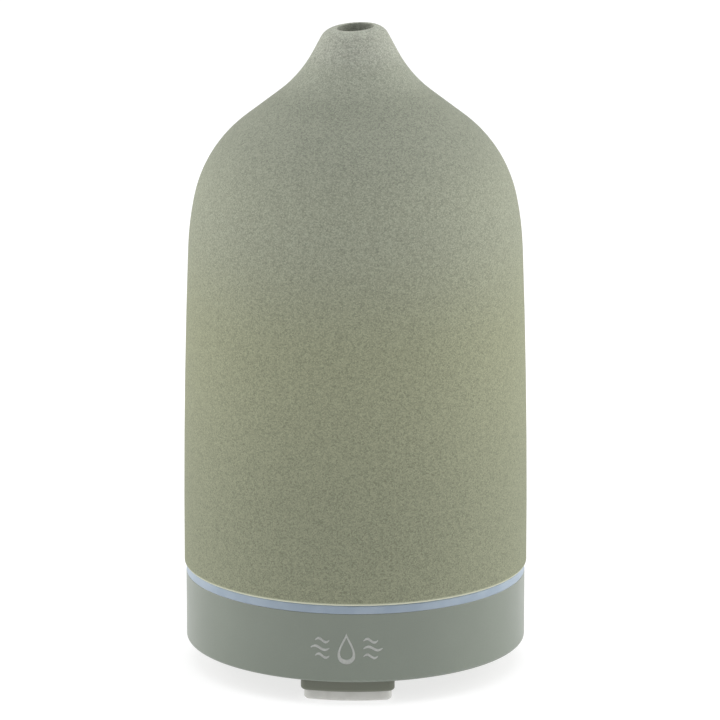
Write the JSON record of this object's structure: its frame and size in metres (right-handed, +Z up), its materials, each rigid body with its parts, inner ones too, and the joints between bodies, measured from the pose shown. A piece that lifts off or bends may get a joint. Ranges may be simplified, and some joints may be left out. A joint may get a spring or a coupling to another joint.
{
  "type": "ultrasonic essential oil diffuser",
  "caption": "Bottle-shaped ceramic cover with a narrow mist mouth over a lidded water tank, on a round plastic base with a light ring, fan, push buttons and arc feet.",
  "frame": {"origin": "on the table, at the middle of the round base, level with the underside of the foot pads", "axes": "+Z up along the cover's axis, -Y towards the front with the printed mark and the front foot, +X to the viewer's right; the power socket faces +Y"},
  "size_m": [0.091, 0.091, 0.1709],
  "materials": {
    "stone_ceramic": "matte sandy, unglazed",
    "base_plastic": "satin grey-green moulding",
    "plate_plastic": "satin, darker grey-green moulding",
    "ring_plastic": "translucent frosted",
    "clear_white_plastic": "gloss white moulding",
    "pad_silicone": "soft translucent white",
    "seal_rubber": "black",
    "screw_steel": "zinc plated",
    "transducer_steel": "polished",
    "piezo_ceramic": "silvered ceramic",
    "fan_plastic": "black moulding",
    "bearing_bronze": "sintered",
    "magnet": "dark ferrite",
    "lamination_steel": "stacked laminations",
    "copper_winding": "enamelled wire",
    "circuit_board": "green solder mask",
    "component_black": "moulded package",
    "can_aluminium": "sleeved can",
    "connector_plastic": "ivory moulding",
    "lamp_resin": "clear resin on white",
    "contact_brass": "tinned",
    "button_plastic": "satin"
  },
  "bodies": {
    "base": {"water_tank": "clear_white_plastic", "tank_gasket": "seal_rubber", "light_ring": "ring_plastic", "base_housing": "base_plastic", "bottom_plate": "plate_plastic", "foot_pad_front": "pad_silicone", "foot_pad_rear_left": "pad_silicone", "foot_pad_rear_right": "pad_silicone", "base_screws": "screw_steel", "tank_screws": "screw_steel", "transducer_disc": "transducer_steel", "piezo_element": "piezo_ceramic", "transducer_seal": "seal_rubber", "transducer_clamp": "transducer_steel", "clamp_screws": "screw_steel", "fan_case": "fan_plastic", "fan_cover": "fan_plastic", "fan_bearing": "bearing_bronze", "fan_stator": "lamination_steel", "fan_coils": "copper_winding", "fan_board": "circuit_board", "fan_screws": "screw_steel", "air_duct": "connector_plastic", "duct_gasket": "seal_rubber", "main_board": "circuit_board", "board_capacitors": "can_aluminium", "board_inductor": "component_black", "power_transistor": "component_black", "heat_sink": "can_aluminium", "control_chip": "component_black", "board_connectors": "connector_plastic", "board_screws": "screw_steel", "light_board": "circuit_board", "ring_leds": "lamp_resin", "dc_socket": "component_black", "dc_pin": "contact_brass", "dc_contacts": "contact_brass", "mist_switch": "component_black", "mist_switch_board": "circuit_board", "light_switch": "component_black", "light_switch_board": "circuit_board"},
    "lid": {"inner_lid": "clear_white_plastic"},
    "cover": {"ceramic_cover": "stone_ceramic"},
    "rotor": {"fan_impeller": "fan_plastic", "fan_shaft": "transducer_steel", "fan_magnet": "magnet"},
    "mist_button": {"mist_button": "button_plastic", "mist_switch_plunger": "seal_rubber"},
    "light_button": {"light_button": "button_plastic", "light_switch_plunger": "seal_rubber"}
  },
  "joints": [
    {"name": "lid_lift", "type": "slide", "parent": "base", "child": "lid", "axis": [0, 0, 1], "range_m": [0, 0.06]},
    {"name": "cover_lift", "type": "slide", "parent": "lid", "child": "cover", "axis": [0, 0, 1], "range_m": [0, 0.14]},
    {"name": "fan_spin", "type": "hinge", "parent": "base", "child": "rotor", "pos_m": [0, 0, 0.0155], "axis": [0, 0, 1], "continuous": true},
    {"name": "mist_press", "type": "slide", "parent": "base", "child": "mist_button", "axis": [0.7431, -0.6691, 0], "range_m": [0, 0.0005], "stiffness_N_per_m": 600, "springref_m": -0.0005},
    {"name": "light_press", "type": "slide", "parent": "base", "child": "light_button", "axis": [-0.7431, -0.6691, 0], "range_m": [0, 0.0005], "stiffness_N_per_m": 600, "springref_m": -0.0005}
  ]
}
